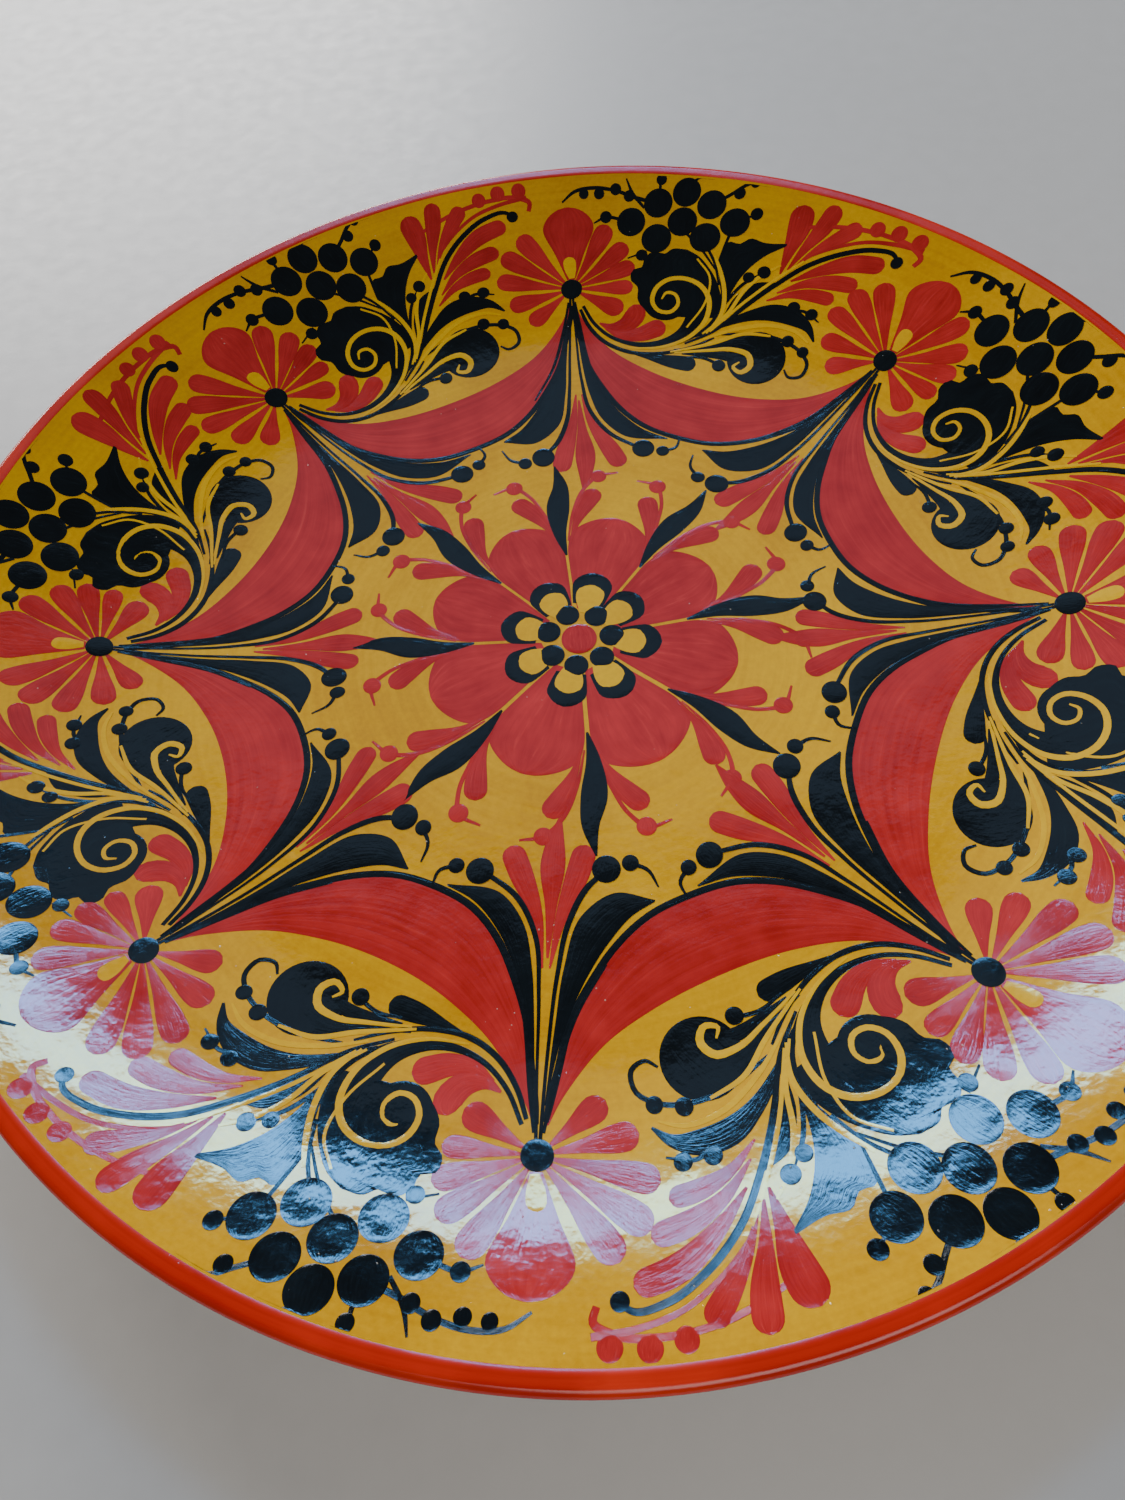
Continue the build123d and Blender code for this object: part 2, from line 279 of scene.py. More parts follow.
class Painting:
    """Strokes of one colour, gathered into one object of thin closed shells."""

    def __init__(self, name, lift, rise=paint_rise):
        self.name, self.lift, self.rise = name, lift, rise
        self.vertices, self.faces, self.marks = [], [], []
        self.size = 0
        self.strokes = 0

    def lay(self, plan):
        """Adds one stroke: its plan raised onto the inside, its crown highest in the middle.

        Height above the ground is lift + rise (1 - v^2) (1 - u^8) for v from -1 to 1 across
        and u from -1 to 1 along. The rise shrinks with the stroke where it is narrow, and
        each stroke in a cycle lies a hair higher than the last, so that neighbours which
        cross don't share a surface."""
        rows, columns = plan.shape[:2]
        # A plan that runs clockwise is turned over, so that its faces look up
        along = np.diff(plan, axis=0)[:, :-1].reshape(-1, 2)
        over = np.diff(plan, axis=1)[:-1].reshape(-1, 2)
        if (along[:, 0] * over[:, 1] - along[:, 1] * over[:, 0]).sum() < 0:
            plan = plan[:, ::-1]
        v = np.linspace(-1, 1, columns)
        u = np.linspace(-1, 1, rows)
        radius = np.hypot(plan[..., 0], plan[..., 1])
        fullness = np.clip(np.hypot(*(plan[:, -1] - plan[:, 0]).T) / full_width, 0, 1)
        crown = (1 - v**2)[None, :] * ((1 - u**8) * fullness)[:, None]
        lift = self.lift + next_stroke_lift * (self.strokes % stroke_cycle)
        top = inside_height(radius) + lift + self.rise * crown
        under = inside_height(radius) - paint_root
        upper = np.concatenate([plan, top[..., None]], -1).reshape(-1, 3)
        lower = np.concatenate([plan, under[..., None]], -1).reshape(-1, 3)
        count = rows * columns
        index = np.arange(count).reshape(rows, columns)
        sheet = quads(rows, columns)
        rim = np.concatenate([index[0, :-1], index[:-1, -1], index[-1, :0:-1], index[:0:-1, 0]])
        ahead = np.roll(rim, -1)
        wall = np.stack([rim, ahead, ahead + count, rim + count], 1)
        self.vertices.append(np.vstack([upper, lower]))
        self.faces.append(np.vstack([sheet, sheet[:, ::-1] + count, wall]) + self.size)
        mark = np.stack(np.broadcast_arrays(u[:, None], v[None, :], hand.uniform()), -1)
        mark = mark.reshape(-1, 3)
        self.marks.append(np.vstack([mark, mark]))
        self.size += 2 * count
        self.strokes += 1

    def piece(self, material, slot, *nodes):
        """Finishes the object, which stands for the CAD nodes named."""
        made = mesh_piece(
            self.name, np.vstack(self.vertices), np.vstack(self.faces).tolist(),
            material, {"mark": np.vstack(self.marks)},
        )
        if nodes:
            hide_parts(*nodes)


# --------------------------------------------------------------------- the drawn ornament
# Strokes are lists of (x, y, width), edges are lists of (x, y), all in a flower's frame.


def petal(turn, length, width):
    """One petal from the heart outward, thin at its root and round at its tip."""
    start = 3.0
    turn = np.radians(turn)
    reach = np.array([start, start + 0.38 * (length - start), length * 0.78, length])
    widths = np.array([0.16, 0.6, 1.1, 1.12]) * width
    line = np.stack([reach * np.sin(turn), reach * np.cos(turn), widths], 1)
    return brush(line, blunt_end=True, across=11 if width > 8 else 7)


flower_petals = [
    petal(*sizes)
    for sizes in (
        (-1, 24.6, 14.2),
        (31, 21.8, 5.0),
        (53, 20.6, 4.8),
        (72, 19.2, 4.6),
        (93, 17.4, 4.0),
        (119, 16.2, 5.0),
        (-41, 22.8, 5.0),
        (-60, 23.2, 5.0),
        (-80, 21.8, 4.8),
        (-104, 18.2, 4.6),
        (-131, 15.4, 4.6),
    )
]
flower_dab = brush([(0.2, 3.4, 1.6), (-0.2, 6.5, 3.4), (-0.6, 10.2, 3.6)], blunt_end=True)
heart = disc(0, 0, 3.0)

commas = [
    brush([(7.6, -11.2, 0.5), (11, -12.9, 2.8), (15.0, -12.2, 5.0), (17.6, -8.8, 5.8),
           (17.2, -6.4, 5.4)], blunt_end=True),
    brush([(9.2, -13.2, 0.5), (13.5, -15.6, 2.8), (18.5, -15.8, 4.6), (23, -14.4, 5.4),
           (25.4, -13.8, 5.2)], blunt_end=True),
]

# The ribbon hangs from heart to heart: shares of the step, and how far inside the hearts
ribbon_outer = ((0.012, 5.0), (0.03, 8.5), (0.06, 12.5), (0.14, 19.6), (0.28, 25.3), (0.5, 28.0))
ribbon_inner = (
    (0.006, 5.0), (0.012, 8.5), (0.026, 14.0), (0.056, 23.6), (0.123, 32.4), (0.2, 38.6),
    (0.33, 43.8), (0.5, 45.4),
)


def hanging(edge, inset=0.0):
    """An edge of the ribbon from one heart to the next, the second half the first mirrored."""
    half = np.array(edge)
    both = np.vstack([half, (np.array([1, 0]) + half[-2::-1] * np.array([-1, 1]))])
    turn = both[:, 0] * drawn_step
    radius = drawn_heart_radius - both[:, 1] - inset
    return np.stack([radius * np.sin(turn), radius * np.cos(turn) - drawn_heart_radius], 1)


ribbon = between(hanging(ribbon_outer), hanging(ribbon_inner), across=17)
outline_line = hanging(ribbon_inner, inset=0.5)
outline_width = np.full(len(outline_line), 1.5)
outline_width[[0, -1]] = 1.0
ribbon_outline = brush(np.column_stack([outline_line, outline_width]), across=5)
spray_leaf_shapes = [
    between(
        [(-1.0, -9), (-2.9, -21), (-6.6, -33), (-10.4, -40.5), (-14.6, -46.2), (-19, -49.4)],
        [(-0.8, -9), (-1.5, -24), (-2.0, -35), (-4.4, -45.8), (-10.5, -50.8), (-19, -49.8)],
    ),
    between(
        [(1.2, -10), (2.6, -24), (4.4, -35), (7.2, -43.6), (12.6, -49.8), (24, -51.8)],
        [(1.4, -10), (3.9, -24), (8.0, -35), (12.6, -42.4), (18.2, -48.2), (24, -51.4)],
    ),
]
spray_stems = [
    brush([(-0.4, -3, 0.7), (-0.6, -20, 0.7), (-0.9, -34, 0.9), (-1.9, -44, 1.2), (-5.2, -52, 1.3),
           (-8.4, -55.4, 1.0)]),
    brush([(0.4, -3, 0.7), (1.2, -16, 0.6), (2.4, -30, 0.8), (4.4, -41, 1.1), (9.2, -49.0, 1.2),
           (16.4, -54.2, 1.0)]),
    brush([(-0.9, -4, 0.6), (-2.5, -14, 0.9), (-5.4, -26, 0.8), (-10.2, -36, 0.5)]),
    brush([(0.9, -4, 0.6), (2.3, -12, 0.8), (3.6, -20, 0.8), (5.6, -29, 0.5)]),
]
spray_tails = [
    brush([(-13.4, -57.4, 1.0), (-17.2, -56.2, 0.8), (-19.6, -52.6, 0.4)]),
    brush([(22.6, -55.8, 1.0), (26.0, -54.8, 0.8), (27.2, -51.2, 0.4)]),
]
spray_berry_dabs = [
    disc(-8.6, -55.9, 3.0), disc(-13.5, -57.5, 1.8), disc(17.6, -54.6, 2.9), disc(22.6, -55.8, 1.7),
]
spray_petals = [
    brush([(0.8, -35, 0.4), (-0.3, -45, 2.4), (-2.9, -55, 5.0), (-4.2, -61, 5.0)], blunt_end=True),
    brush([(1.5, -37, 0.5), (2.0, -47, 2.4), (2.5, -57, 5.2), (2.3, -62, 3.6), (1.6, -67.5, 0.5)]),
    brush([(2.3, -35, 0.4), (4.6, -45, 2.4), (9.2, -54.6, 5.0), (11.8, -60.2, 5.0)], blunt_end=True),
]

# Bush: roots from the heart, a lobed leaf, a comma that curls in, and the leaves of the hub
bush_shapes = [
    between(
        [(24.0, -10.8), (20.2, -8.4), (18.4, -5.0), (18.6, -1.2), (16.9, 1.2), (17.6, 4.4), (20.4, 5.0),
         (21.2, 7.6), (24.0, 9.2), (26.8, 8.0), (29.4, 9.2), (33.2, 8.4)],
        [(39.6, -13.6), (41.0, -8.0), (40.6, -3.0), (38.8, 2.0), (36.6, 5.6), (33.6, 8.2)],
        across=13,
    ),
    disc(26.2, -5.8, 6.5),
    brush([(3.2, -5.4, 0.9), (6.4, -11.5, 1.0), (11, -16.2, 1.1), (17, -18.9, 1.5), (24, -19.2, 2.4),
           (30, -16.9, 4.0), (34, -12.4, 6.0), (35.6, -6.5, 6.4), (34.5, -1.0, 5.0)], across=9),
    between(
        [(41.3, -11), (41.3, -3), (42.3, 4.6), (45.2, 8.6), (47.8, 7.4), (50.8, 8.4), (54.4, 6.4),
         (60.6, 4.8)],
        [(41.6, -11), (44.8, -5.6), (48.6, -1.2), (54.0, 2.4), (60.6, 4.4)],
    ),
    brush([(40.5, -14.6, 0.5), (46, -9.6, 3.6), (51, -7.0, 4.2), (56.5, -6.0, 0.5)]),
    brush([(33, -18.2, 0.6), (41, -15.6, 1.6), (49, -14.2, 3.2), (55, -14.6, 5.0), (60, -17.2, 4.6),
           (63.2, -21, 2.2), (64.2, -25, 0.5)], across=9),
    disc(48.6, -27.0, 7.9),
    brush([(27, -21.6, 0.5), (36, -21.8, 1.6), (43, -21.6, 4.6), (48.6, -24.4, 8.6), (51, -28, 7)]),
    brush([(29, -23.0, 0.5), (36, -24.0, 2.0), (41.2, -25.4, 2.8), (44.2, -28.2, 1.6)]),
    brush([(12.5, -19.8, 0.6), (19.6, -23.0, 1.6), (26.6, -25.4, 4.2), (32.4, -26.9, 5.0)],
          blunt_end=True),
]
bush_lines = [
    brush([(2.4, -6.4, 0.9), (4.6, -11.8, 1.1), (8.6, -17.2, 1.2), (15, -21.2, 1.2), (23, -22.4, 1.1),
           (31, -21.4, 0.9), (38, -19.2, 0.5)]),
    brush([(22, -20.6, 0.5), (30, -19.0, 1.0), (37, -15.4, 1.0), (40.5, -11, 1.2), (41.8, -5, 0.6)]),
    brush([(30, -20.0, 0.6), (38, -17.2, 0.9), (46, -12.2, 1.1), (56, -6.4, 1.3), (65, -2.4, 1.4),
           (74, -1.2, 1.4), (82, -2.4, 1.3), (86.8, -5.4, 1.1), (87.4, -7.6, 0.9)]),
    brush([(38, -14.6, 0.6), (43, -8.6, 0.9), (48, -4.4, 0.9), (52.5, -2.6, 0.7)]),
    brush([(29, -24.2, 0.5), (34.6, -25.0, 0.9), (38.4, -27.4, 0.9)]),
    brush([(40, -18.4, 0.6), (50, -20.0, 0.9), (56.4, -23.2, 1.0), (60.4, -27.2, 1.0),
           (61.8, -31.4, 1.0), (59.6, -34.6, 1.0), (56.4, -34.0, 0.8), (55.6, -31.6, 0.5)]),
    brush([(58, -14.6, 0.7), (62.6, -15.6, 0.9), (66.0, -19.6, 0.4)]),
    brush([(41, -4, 0.6), (40.6, 3, 0.8), (39, 8, 0.8)]),
    brush([(40.6, 1, 0.5), (37.2, 8, 0.7), (33, 14, 0.8)]),
    brush([(41.2, 2, 0.5), (43.6, 7, 0.8), (46, 12, 0.8)]),
]
bush_berry_dabs = [
    disc(53.4, -2.2, 1.8), disc(49.2, -3.0, 1.6), disc(87.2, -7.6, 1.6), disc(38.4, -27.8, 1.8),
    disc(57.4, -23.4, 1.7), disc(61.0, -27.4, 1.6), disc(60.0, -13.9, 1.7), disc(64.4, -16.9, 1.7),
]

# Gilt lines laid over the black
gilt_lines = [
    brush([(15, -20.0, 0.4), (24, -20.4, 0.8), (31.5, -18.0, 1.1), (36.4, -13.4, 1.3), (37.8, -8.2, 1.4),
           (36.2, -3.6, 1.4), (32.2, -0.6, 1.3), (27.2, -0.2, 1.3), (23.6, -2.6, 1.3), (22.4, -6.2, 1.2),
           (24.0, -9.2, 1.1), (27.2, -9.9, 1.1), (29.4, -7.8, 1.0), (28.8, -5.0, 0.9),
           (26.4, -4.2, 0.8), (25.0, -5.8, 0.4)]),
    brush([(36, -17.6, 0.5), (40.6, -12.6, 1.1), (42.2, -6, 1.2), (41.9, 0, 1.1), (40.9, 5, 0.7)]),
    brush([(35, -17.6, 0.5), (42.6, -12.4, 0.9), (47.6, -6.6, 1.1), (53, -2.8, 1.0), (58, -1.0, 0.5)]),
    brush([(37, -17.2, 0.5), (46, -10.9, 0.8), (56, -4.9, 0.8), (64, -1.0, 0.6)]),
    brush([(35, -19.2, 0.5), (44, -17.6, 1.0), (54, -18.2, 1.1), (60, -21.4, 0.9), (62.6, -25, 0.4)]),
    brush([(26, -22.2, 0.5), (38, -20.7, 1.0), (46, -19.2, 1.0), (53.0, -21.0, 0.6)]),
    brush([(27, -22.6, 0.4), (36, -22.8, 0.9), (42.6, -23.4, 1.3), (46.6, -25.8, 1.6),
           (46.6, -29.2, 1.6), (43.8, -30.6, 1.3), (42.2, -28.6, 0.9), (44.0, -27.4, 0.4)]),
    brush([(31, -15.2, 0.5), (37, -8, 0.6), (38.8, -1, 0.6), (36, 5, 0.5)]),
]

grape_dabs = [
    disc(x, y, radius)
    for x, y, radius in (
        (18.0, 18.8, 4.1), (25.0, 13.0, 4.3), (26.0, 23.2, 4.1), (34.2, 25.0, 4.0),
        (32.6, 16.8, 4.2), (41.0, 20.2, 4.1), (38.6, 11.0, 4.3), (47.0, 13.8, 4.1),
    )
]
grape_dots = [
    disc(x, y, radius)
    for x, y, radius in (
        (10.8, 21.0, 1.7), (14.0, 28.4, 1.6), (17.8, 26.2, 1.6), (9.2, 27.6, 1.5), (4.8, 27.9, 1.4),
        (27.2, 29.6, 1.5), (53.0, 15.0, 1.7), (48.8, 21.8, 1.6), (53.2, 23.6, 1.3), (20.5, 8.6, 1.7),
    )
]
grape_tendrils = [
    brush([(26, 23.2, 1.0), (20, 25.4, 1.1), (14, 28.0, 1.0), (8, 29.3, 1.0), (2, 28.6, 0.9),
           (-1.6, 26.0, 0.5)]),
    brush([(7.2, 19.6, 0.4), (10.8, 21.0, 0.9), (15.0, 20.0, 0.9)]),
    brush([(22, 22.4, 0.8), (18.6, 27.2, 0.9), (17.2, 31.0, 0.4)]),
    brush([(26.6, 26, 0.8), (27.2, 29.6, 0.8), (29.6, 31.6, 0.4)]),
    brush([(41, 20.2, 0.9), (46, 21.9, 1.0), (52, 23.8, 0.9), (57.4, 22.0, 0.4)]),
    brush([(34.2, 26, 0.7), (38, 28.6, 0.9), (42.4, 28.4, 0.4)]),
    brush([(47, 13.8, 0.7), (53, 15.0, 0.7)]),
    brush([(22, 9.6, 0.7), (16.4, 8.2, 0.4)]),
]

palmette_petals = [
    brush([(57.5, -3.4, 0.5), (60.4, 2.4, 3.0), (63.8, 9.0, 6.2), (65.6, 14.4, 6.4)], blunt_end=True),
    brush([(59.5, -2.6, 0.5), (64.4, 2.4, 2.4), (70.2, 7.6, 4.8), (74.0, 11.8, 5.0)], blunt_end=True),
    brush([(62, -1.6, 0.4), (68, 1.6, 2.2), (74.6, 3.6, 4.2), (79.4, 4.8, 4.6)], blunt_end=True),
    brush([(60, -6.0, 0.5), (68, -4.6, 3.0), (76, -4.6, 4.8), (84.2, -7.6, 4.6)], blunt_end=True),
    brush([(56, -8.8, 0.4), (64, -7.6, 2.6), (71, -8.8, 4.4), (77.0, -11.4, 4.4)], blunt_end=True),
    brush([(53, -10.6, 0.4), (60, -10.0, 2.2), (65.5, -11.4, 3.8), (70.6, -14.0, 4.0)], blunt_end=True),
]
red_tendrils = [
    brush([(64, -0.2, 0.5), (72, 1.0, 0.9), (80, 0.4, 1.0), (87, -2.4, 1.1), (94, -6.8, 1.2)]),
    brush([(-46, 15.5, 0.9), (-38, 21.4, 1.1), (-30, 25.4, 1.2), (-22, 27.6, 1.2), (-15, 28.0, 1.3),
           (-11.2, 26.4, 1.4), (-11.6, 24.2, 1.2)]),
]
red_tendril_dabs = [disc(-14.2, 29.8, 2.1), disc(-20.4, 29.3, 2.1), disc(-26.0, 27.6, 2.0)]

# Rosette, drawn along +Y about the dish's centre
rosette_leaf_turns = np.radians([-2, 41, 85, 131, 181, 228, 274.5, 317])
gilt_petal_turns = np.radians([-25.5, 17, 57, 100, 151, 196, 246, 290])
leaf_gaps = np.diff(rosette_leaf_turns, append=rosette_leaf_turns[0] + 2 * np.pi)
rosette_petal_turns = rosette_leaf_turns + leaf_gaps / 2
rosette_petal_shares = leaf_gaps / np.radians(43)
rosette_petal = brush(
    [(0, 8.5, 5.4), (0, 14, 10.2), (0, 20, 15.0), (0, 26, 19.2), (0, 32, 20.0), (0, 37.6, 16.8)],
    blunt_end=True, across=17,
)
horseshoe = brush([(0, 9.8, 7.2), (0, 12.5, 8.6), (0, 15.5, 9.6), (0, 19.3, 8.6)], blunt_end=True, across=9)
gilt_petal = brush([(0, 7.4, 2.8), (0, 11.0, 6.2), (0, 16.0, 6.8)], blunt_end=True, across=9)
rosette_leaf = brush(
    [(0, 25.5, 0.5), (-0.9, 33, 3.4), (-0.4, 41.5, 5.9), (0.9, 48, 4.0), (0.2, 55.5, 0.4)], across=9
)
rosette_drop_shapes = [
    brush([(-1.2, 28.5, 0.3), (-3.8, 35, 1.8), (-7.8, 41.2, 4.8), (-11.6, 45.2, 5.4)], blunt_end=True),
    brush([(1.2, 28.5, 0.3), (3.4, 35, 1.8), (6.8, 41.2, 4.8), (10.2, 45.6, 5.4)], blunt_end=True),
]
rosette_tendrils = [
    brush([(-0.9, 30, 0.4), (-4.2, 39.5, 0.9), (-7.6, 46.5, 1.0), (-11.2, 49.8, 1.1),
           (-16.6, 48.6, 0.5)]),
    brush([(0.9, 30, 0.4), (3.4, 39.5, 0.9), (6.6, 46.0, 1.0), (11.2, 50.0, 1.1), (16.4, 50.4, 0.5)]),
]
rosette_tendril_dabs = [disc(-11.0, 49.7, 2.2), disc(11.2, 50.0, 2.1)]


# ---------------------------------------------------------------------------- materials


class Value:
    """A number that changes over a surface: sums on it add Math nodes to its shader."""

    def __init__(self, shader, socket):
        self.shader, self.socket = shader, socket

    def math(self, operation, first, second=None, clamp=False):
        """One Math node, fed with Values or plain numbers."""
        inputs = {0: first} if second is None else {0: first, 1: second}
        settings = {"operation": operation, "use_clamp": clamp}
        return self.shader.value("ShaderNodeMath", settings, inputs)

    def __add__(self, other):
        return self.math("ADD", self, other)

    def __sub__(self, other):
        return self.math("SUBTRACT", self, other)

    def __rsub__(self, other):
        return self.math("SUBTRACT", other, self)

    def __mul__(self, other):
        return self.math("MULTIPLY", self, other)

    def __pow__(self, other):
        return self.math("POWER", self, other)

    def __abs__(self):
        return self.math("ABSOLUTE", self)

    def at_least(self, other):
        return self.math("MAXIMUM", self, other)

    def at_most(self, other):
        return self.math("MINIMUM", self, other)

    def over(self, threshold, softness):
        """0 below the threshold, 1 above it, with a slope as wide as the softness."""
        return self.math("MULTIPLY", self - threshold, 1 / softness, clamp=True)

    __radd__ = __add__
    __rmul__ = __mul__


class Shader:
    """A material's node tree, with one method for any node and one for values."""

    def __init__(self, name):
        self.material = bpy.data.materials.new(name)
        self.material.use_nodes = True
        self.tree = self.material.node_tree
        self.surface = self.tree.nodes["Principled BSDF"]
        self.place = self.node("ShaderNodeTexCoord").outputs["Object"]

    def node(self, kind, settings=None, inputs=None):
        """Adds a node, with its settings first and then the values or links of its sockets."""
        made = self.tree.nodes.new(kind)
        for key, setting in (settings or {}).items():
            setattr(made, key, setting)
        for key, given in (inputs or {}).items():
            self.feed(made.inputs[key], given)
        return made

    def feed(self, socket, given):
        """Links a socket to a Value or another socket, or sets it."""
        if isinstance(given, Value):
            given = given.socket
        if isinstance(given, bpy.types.NodeSocket):
            self.tree.links.new(given, socket)
        else:
            socket.default_value = given

    def value(self, kind, settings=None, inputs=None):
        """The first output of a new node, as a Value."""
        return Value(self, self.node(kind, settings, inputs).outputs[0])

    def noise(self, scale, detail=3.0, place=None, distortion=0.0):
        """Smooth noise from 0 to 1 with this many lumps to the metre."""
        inputs = {
            "Vector": place or self.place, "Scale": scale, "Detail": detail,
            "Roughness": 0.55, "Distortion": distortion,
        }
        return self.value("ShaderNodeTexNoise", None, inputs)

    def mix(self, share, first, second):
        """Mixes two colours, each a colour or a socket, by a share from 0 to 1.

        A Mix node keeps its colours on inputs 6 and 7 and its result on output 2."""
        made = self.node("ShaderNodeMix", {"data_type": "RGBA"})
        for key, given in ((0, share), (6, first), (7, second)):
            if isinstance(given, tuple):
                given = (*given, 1.0)
            self.feed(made.inputs[key], given)
        return made.outputs[2]

    def radius(self):
        """Distance from the dish's axis, in metres."""
        flat = self.stretched((1.0, 1.0, 0.0))
        length = self.node("ShaderNodeVectorMath", {"operation": "LENGTH"}, {0: flat})
        return Value(self, length.outputs["Value"])

    def stretched(self, scale):
        """The place with each axis scaled, so that a pattern is drawn out along one of them."""
        inputs = {"Vector": self.place, "Scale": scale}
        return self.node("ShaderNodeMapping", None, inputs).outputs[0]

    def turning(self, lines, waver, cloud):
        """Fine rings left by the turning, this many to the metre, which waver with the cloud."""
        rings = {0: self.radius() * lines, 1: cloud * waver}
        place = self.node("ShaderNodeCombineXYZ", None, rings).outputs[0]
        return self.noise(1.0, detail=3, place=place)

    def bump(self, height, distance, strength=1.0, inside=False):
        """Roughens the surface, and hollows the floor's shading when it is the inside."""
        if inside:
            height = height + hollow(self) * (1 / (distance * strength))
        inputs = {"Height": height, "Distance": distance, "Strength": strength}
        self.feed(self.surface.inputs["Normal"], self.node("ShaderNodeBump", None, inputs).outputs[0])

    def finish(self, **inputs):
        """Feeds the surface's sockets, named with underscores for spaces."""
        for key, given in inputs.items():
            self.feed(self.surface.inputs[key.replace("_", " ")], given)
        return self.material


def hollow(shader):
    """A floor turned very slightly hollow: r^2 / 2R, eased into the arc of the wall.

    The arc's own part is taken off between the floor's edge and the radius where the
    arc is as steep as the hollow."""
    hollow_arc = 0.62
    edge, arc = floor_radius * MM, wall_arc * MM
    meeting = edge / (1 - arc / hollow_arc)
    radius = shader.radius().at_most(meeting)
    beyond = (radius - edge).at_least(0.0)
    return radius * radius * (0.5 / hollow_arc) - beyond * beyond * (0.5 / arc)


def dust(shader):
    """Sparse pale specks caught in the lacquer, 1 on a speck."""
    warped = shader.noise(1500, detail=1) * 0.22
    cells = shader.value("ShaderNodeTexVoronoi", None, {"Vector": shader.place, "Scale": 520.0})
    sparse = shader.noise(120, detail=1).over(0.63, 0.05)
    return (1 - (cells + warped).over(0.15, 0.06)) * sparse


def peel(shader):
    """The lacquer's unevenness: slow swells, a fine orange peel and specks of dust."""
    swell = shader.noise(70, detail=2)
    fine = shader.noise(420, detail=2)
    return swell * 0.7 + fine * 0.22 + dust(shader) * 0.25


def gilt_material(name, deep, bright):
    """Golden lacquer over rubbed metal: cloudy ochre, finely grained, with turning marks."""
    shader = Shader(name)
    cloud = shader.noise(28, detail=4)
    grain = shader.noise(900, detail=2)
    turning = shader.turning(700.0, 1.5, cloud)
    share = cloud.over(0.28, 0.46) * 0.62 + grain.over(0.3, 0.4) * 0.2 + turning.over(0.35, 0.3) * 0.18
    colour = shader.mix(share, deep, bright)
    colour = shader.mix(dust(shader) * 0.5, colour, (0.85, 0.8, 0.62))
    shader.bump(peel(shader) + grain * 0.03, 0.0003, 0.45, inside=True)
    return shader.finish(
        Base_Color=colour, Metallic=cloud * 0.1 + 0.06, Roughness=grain * 0.05 + cloud * 0.06 + 0.03,
    )


def paint_material(name, deep, body, thin, edge_share):
    """Brushed paint under lacquer: streaked along the stroke, darker where it pooled at the edge."""
    shader = Shader(name)
    mark = shader.node("ShaderNodeAttribute", {"attribute_name": "mark"}).outputs["Vector"]
    along, across, stroke = (
        Value(shader, socket)
        for socket in shader.node("ShaderNodeSeparateXYZ", None, {0: mark}).outputs
    )
    bristles = shader.node(
        "ShaderNodeCombineXYZ", None, {0: along * 1.2, 1: across * 5.0, 2: stroke * 40.0}
    )
    streak = shader.noise(1.6, detail=4, place=bristles.outputs[0], distortion=0.4)
    cloud = shader.noise(110, detail=3)
    grain = shader.noise(1300, detail=1)
    share = streak * 0.5 + cloud * 0.6 + (stroke - 0.5) * 0.12 - 0.12
    colour = shader.mix(share.over(0.22, 0.56), deep, body)
    colour = shader.mix(streak.over(0.62, 0.2) * 0.35, colour, thin)
    pooled = (abs(across) ** 6.0) * edge_share
    colour = shader.mix(pooled, colour, deep)
    colour = shader.mix(dust(shader) * 0.45, colour, (0.7, 0.62, 0.5))
    shader.bump(peel(shader) + streak * 0.12 + grain * 0.03, 0.0003, 0.45, inside=True)
    return shader.finish(Base_Color=colour, Roughness=streak * 0.04 + cloud * 0.06 + 0.03)


def lacquer_material(name, deep, body, roughness):
    """Plain lacquer laid on while the dish turned: fine rings and soft clouds."""
    shader = Shader(name)
    cloud = shader.noise(45, detail=3)
    turning = shader.turning(900.0, 2.0, cloud)
    colour = shader.mix((cloud * 0.7 + turning * 0.5).over(0.35, 0.5), deep, body)
    colour = shader.mix(dust(shader) * 0.35, colour, (0.6, 0.52, 0.45))
    shader.bump(peel(shader) + turning * 0.12, 0.0003, 0.35)
    return shader.finish(Base_Color=colour, Roughness=cloud * 0.1 + turning * 0.06 + roughness)


def wood_material(name):
    """Bare turned lime wood: growth rings cut by the turning, with short pores."""
    shader = Shader(name)
    log = shader.stretched((6.0, 55.0, 30.0))
    rings = shader.noise(1.0, detail=4, place=log, distortion=1.2)
    pores = shader.noise(1.0, detail=2, place=shader.stretched((140.0, 1400.0, 900.0)))
    colour = shader.mix(rings.over(0.3, 0.4), (0.50, 0.31, 0.15), (0.72, 0.52, 0.31))
    colour = shader.mix(pores.over(0.58, 0.1) * 0.4, colour, (0.33, 0.19, 0.09))
    shader.bump(rings * 0.3 + pores, 0.0002, 0.5)
    return shader.finish(Base_Color=colour, Roughness=pores * 0.15 + 0.55)


gilt = gilt_material("gilt_lacquer", (0.56, 0.24, 0.0), (0.96, 0.52, 0.0))
gilt_brush = gilt_material("gilt_brush", (0.70, 0.35, 0.0), (1.0, 0.58, 0.0))
red_paint = paint_material(
    "red_paint", (0.36, 0.010, 0.010), (0.66, 0.040, 0.034), (0.74, 0.085, 0.06), 0.45
)
black_paint = paint_material(
    "black_paint", (0.001, 0.002, 0.003), (0.004, 0.008, 0.011), (0.012, 0.02, 0.026), 0.3
)
rim_red = lacquer_material("rim_red", (0.40, 0.006, 0.001), (0.70, 0.03, 0.004), 0.14)
back_black = lacquer_material("back_black", (0.003, 0.003, 0.003), (0.014, 0.011, 0.009), 0.16)
lime_wood = wood_material("lime_wood")


# ------------------------------------------------------------------- the body and its coats

